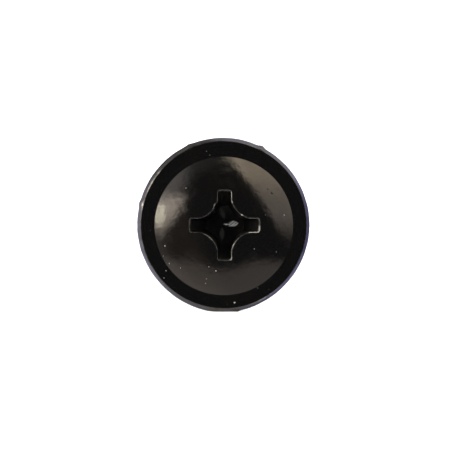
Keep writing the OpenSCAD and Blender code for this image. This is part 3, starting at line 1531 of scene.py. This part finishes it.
@dataclass(frozen=True)
class PaleFloor:
    """Matt white studio floor that stays near white round the screw."""

    clouds: Cloud = Cloud(scale=30.0, detail=2.0, rough=0.5)
    white: Colour = (0.86, 0.86, 0.86, 1.0)
    cool: Colour = (0.82, 0.82, 0.83, 1.0)
    glow_colour: Colour = (1.0, 1.0, 1.0, 1.0)
    glow: float = 0.75
    matt: float = 0.9
    sheen: float = 0.1

    def make(self) -> bpy.types.Material:
        """Builds the material.

        Returns:
            The material.
        """
        material, pad, shader = new_surface("pale_floor")
        place = pad.add("ShaderNodeTexCoord")
        cloud = self.clouds.spread(pad, place.outputs["Object"])
        colour = pad.blend(cloud, self.white, self.cool)
        pad.fill(shader, {"Base Color": colour, "Roughness": self.matt})
        pad.fill(shader, {"Specular IOR Level": self.sheen})
        pad.fill(shader, {"Emission Color": self.glow_colour, "Emission Strength": self.glow})
        return material


@dataclass(frozen=True)
class Edge:
    """A soft border of a studio light: it shows on surfaces that face beyond a share of an axis."""

    axis: Point3
    start: float
    end: float


LEFT = (-1.0, 0.0, 0.0)
UP = (0.0, 1.0, 0.0)
DOWN = (0.0, -1.0, 0.0)
FRONT = (0.0, 0.0, 1.0)
BACK = (0.0, 0.0, -1.0)
ON_TOP = Edge(FRONT, 0.62, 0.74)
ON_DOME = Edge(FRONT, 0.72, 0.757)
ON_SIDES = Edge(BACK, -0.74, -0.66)
RIGHT_PANE = Edge((0.84, 0.543, 0.0), 0.391, 0.469)


@dataclass(frozen=True)
class SoftLight:
    """A large soft area of light round the screw, in directions of the picture."""

    name: str
    colour: Point3
    edges: tuple[Edge, ...]
    uneven: float = 0.0


@dataclass
class Studio:
    """Floor, surrounding light and camera."""

    pose: Pose
    head: WasherHead
    field_mm: float = 28.65
    distance_mm: float = 500.0
    shift_mm: Point2 = (0.114, -0.032)
    sensor_mm: float = 36.0
    clip_m: Point2 = (0.01, 10.0)
    floor_size: float = 3.0
    fill_watts: float = 0.7
    fill_at_mm: Point3 = (-40.0, 60.0, 300.0)
    fill_size_mm: float = 60.0
    shown: Colour = (1.0, 1.0, 1.0, 1.0)
    base: Point3 = (0.042, 0.043, 0.045)
    clouds: Cloud = Cloud(scale=16.0, detail=3.0, rough=0.5, low=0.35, high=0.65)
    lights: tuple[SoftLight, ...] = (
        SoftLight(
            "window",
            (4.7, 4.05, 3.4),
            (
                Edge((-0.879, 0.476, 0.0), 0.41, 0.48),
                Edge(UP, -0.15, 0.08),
                Edge(DOWN, -0.33, -0.22),
                ON_DOME,
            ),
            uneven=0.3,
        ),
        SoftLight(
            "window_pane",
            (7.6, 7.3, 5.4),
            (
                Edge(LEFT, 0.54, 0.59),
                Edge(UP, -0.005, 0.065),
                Edge(DOWN, -0.225, -0.145),
                ON_DOME,
            ),
            uneven=0.2,
        ),
        SoftLight(
            "upper_left",
            (1.05, 0.95, 0.88),
            (Edge((-0.64, 0.77, 0.0), 0.42, 0.56), Edge(LEFT, 0.27, 0.46), ON_TOP),
        ),
        SoftLight("upper_right", (1.65, 1.4, 1.17), (RIGHT_PANE, Edge(UP, -0.21, 0.17), ON_TOP)),
        SoftLight(
            "upper_right_warm", (1.75, 1.4, 0.91), (RIGHT_PANE, Edge(UP, 0.19, 0.586), ON_TOP)
        ),
        SoftLight(
            "top_corner",
            (2.3, 1.97, 1.5),
            (
                Edge((0.605, 0.796, 0.0), 0.505, 0.545),
                Edge((-0.84, -0.543, 0.0), -0.51, -0.4),
                ON_TOP,
            ),
        ),
        SoftLight(
            "below",
            (0.77, 0.66, 0.58),
            (Edge((-0.03, -1.0, 0.0), 0.28, 0.385), Edge(BACK, -0.925, -0.885), ON_TOP),
        ),
        SoftLight("lower_left", (0.13, 0.09, 0.06), (Edge((-0.9, -0.44, 0.0), 0.2, 0.36), ON_TOP)),
        SoftLight(
            "surround", (0.3, 0.28, 0.26), (Edge(LEFT, -0.2, 0.45), Edge(BACK, -0.87, -0.78))
        ),
        SoftLight("back", (0.2, 0.2, 0.29), (ON_SIDES,)),
        SoftLight(
            "back_left", (2.15, 2.1, 2.65), (Edge((-0.99, -0.12, 0.0), 0.53, 0.85), ON_SIDES)
        ),
        SoftLight(
            "back_upper_right",
            (1.46, 1.45, 1.7),
            (Edge((0.47, 0.883, 0.0), 0.55, 0.8), ON_SIDES),
        ),
        SoftLight(
            "back_right",
            (0.33, 0.34, 1.05),
            (Edge((0.985, -0.17, 0.0), 0.42, 0.72), ON_SIDES, Edge(FRONT, 0.43, 0.52)),
        ),
        SoftLight("back_low", (0.44, 0.45, 0.55), (Edge(DOWN, 0.2, 0.5), ON_SIDES)),
    )

    def lay_floor(self) -> None:
        """Lays the pale floor, which reflections don't show."""
        bpy.ops.mesh.primitive_plane_add(size=self.floor_size, location=(0.0, 0.0, 0.0))
        floor = bpy.context.view_layer.objects.active
        floor.name = "floor"
        floor.data.materials.append(PaleFloor().make())
        floor.visible_glossy = False

    def light(self) -> None:
        """Builds the surrounding light: white behind the screw, soft lights in its reflections."""
        world = bpy.data.worlds.new("studio")
        bpy.context.scene.world = world
        world.use_nodes = True
        pad = NodePad(world.node_tree)
        facing = self.facing(pad)
        total: object = self.base
        for light in self.lights:
            total = self.added(pad, total, self.glow(pad, facing, light))
        shown = pad.add("ShaderNodeBackground")
        mirrored = pad.add("ShaderNodeBackground")
        pad.feed(shown.inputs["Color"], self.shown)
        pad.feed(mirrored.inputs["Color"], total)
        path = pad.add("ShaderNodeLightPath")
        mixed = pad.add("ShaderNodeMixShader")
        share, first, second = mixed.inputs
        pad.feed(share, path.outputs["Is Camera Ray"])
        pad.feed(first, mirrored.outputs["Background"])
        pad.feed(second, shown.outputs["Background"])
        out = pad.add("ShaderNodeOutputWorld")
        pad.feed(out.inputs["Surface"], mixed.outputs["Shader"])
        bpy.context.scene.view_settings.view_transform = "Standard"

    def facing(self, pad: NodePad) -> bpy.types.NodeSocket:
        """Gives the way a surface faces that shows a direction's light to the front.

        Args:
            pad: the world's nodes.

        Returns:
            The mean of the direction looked in and the front, as a unit vector.
        """
        place = pad.add("ShaderNodeTexCoord")
        between = self.added(pad, place.outputs["Generated"], self.pose.direction(Axis.FRONT))
        node = pad.add("ShaderNodeVectorMath", operation="NORMALIZE")
        pad.feed(node.inputs[0], between)
        return node.outputs[0]

    @staticmethod
    def added(pad: NodePad, first: object, second: object) -> bpy.types.NodeSocket:
        """Adds two colours or vectors and returns the result."""
        node = pad.add("ShaderNodeVectorMath", operation="ADD")
        pad.feed(node.inputs[0], first)
        pad.feed(node.inputs[1], second)
        return node.outputs[0]

    def glow(
        self, pad: NodePad, facing: bpy.types.NodeSocket, light: SoftLight
    ) -> bpy.types.NodeSocket:
        """Builds one soft light.

        Args:
            pad: the world's nodes.
            facing: the way a surface faces that shows the direction looked in.
            light: the light.

        Returns:
            Its colour in that direction.
        """
        mask: object = 1.0
        for edge in light.edges:
            shares = zip((Axis.RIGHT, Axis.UP, Axis.FRONT), edge.axis)
            axis = sum((self.pose.direction(name) * share for name, share in shares), Vector())
            node = pad.add("ShaderNodeVectorMath", operation="DOT_PRODUCT")
            pad.feed(node.inputs[0], facing)
            pad.feed(node.inputs[1], axis)
            mask = pad.math("MULTIPLY", mask, pad.ramp(node.outputs["Value"], edge.start, edge.end))
        if light.uneven:
            clouds = replace(self.clouds, to=(1 - light.uneven, 1 + light.uneven))
            mask = pad.math("MULTIPLY", mask, clouds.shown(pad, clouds.spread(pad, facing)))
        tint = pad.add("ShaderNodeVectorMath", operation="SCALE", label=light.name)
        pad.feed(tint.inputs[0], light.colour)
        pad.feed(tint.inputs["Scale"], mask)
        return tint.outputs[0]

    def fill(self) -> None:
        """Sets a soft light near the camera, for what is matt: it isn't mirrored in the gloss."""
        data = bpy.data.lights.new("front_fill", "AREA")
        data.energy = self.fill_watts
        data.size = self.fill_size_mm * MM
        lamp = bpy.data.objects.new("front_fill", data)
        bpy.context.scene.collection.objects.link(lamp)
        lamp.location = self.pose.place(*self.fill_at_mm)
        lamp.rotation_euler = (lamp.location - self.pose.origin).to_track_quat("Z", "Y").to_euler()
        lamp.visible_glossy = False

    def set_camera(self) -> None:
        """Sets the camera on the screw's axis, straight onto its head."""
        data = bpy.data.cameras.new("camera")
        data.sensor_width = self.sensor_mm
        data.lens = self.sensor_mm * self.distance_mm / self.field_mm
        data.clip_start, data.clip_end = self.clip_m
        camera = bpy.data.objects.new("camera", data)
        bpy.context.scene.collection.objects.link(camera)
        right, up = self.shift_mm
        camera.location = self.pose.place(right, up, self.head.flange_t / 2 + self.distance_mm)
        axes = [self.pose.direction(axis) for axis in (Axis.RIGHT, Axis.UP, Axis.FRONT)]
        camera.rotation_euler = Matrix(axes).transposed().to_euler()
        bpy.context.scene.camera = camera


def dress(piece: bpy.types.Object, material: bpy.types.Material) -> None:
    """Gives a finished piece its material and the body it rides on.

    Args:
        piece: the piece.
        material: its finish.
    """
    piece.data.materials.clear()
    piece.data.materials.append(material)
    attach(piece, BODY)
    LOG.info("%s: %d faces", piece.name, len(piece.data.polygons))


def main() -> None:
    """Builds the pieces in order and reports each one."""
    logging.basicConfig(level=logging.INFO, format="%(name)s: %(message)s")
    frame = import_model()
    pose = Pose.from_record(frame["record"])
    effects = SharedEffects(pose)
    coat = GlossBlackCoat(effects).make()
    screw = ScrewBody(pose)
    body = screw.build()
    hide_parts(NODE)
    dress(body, coat)
    nibs = CoatNibs(pose, screw.head).build()
    dress(nibs[NibKind.COAT], coat)
    # Pale specks: dust, and painted highlights of tiny lumps in the coat.
    dress(nibs[NibKind.DUST_AND_GLINT], DustAndGlintSpeck(effects).make())
    studio = Studio(pose, screw.head)
    studio.lay_floor()
    studio.light()
    studio.fill()
    studio.set_camera()


if __name__ == "__main__":
    main()
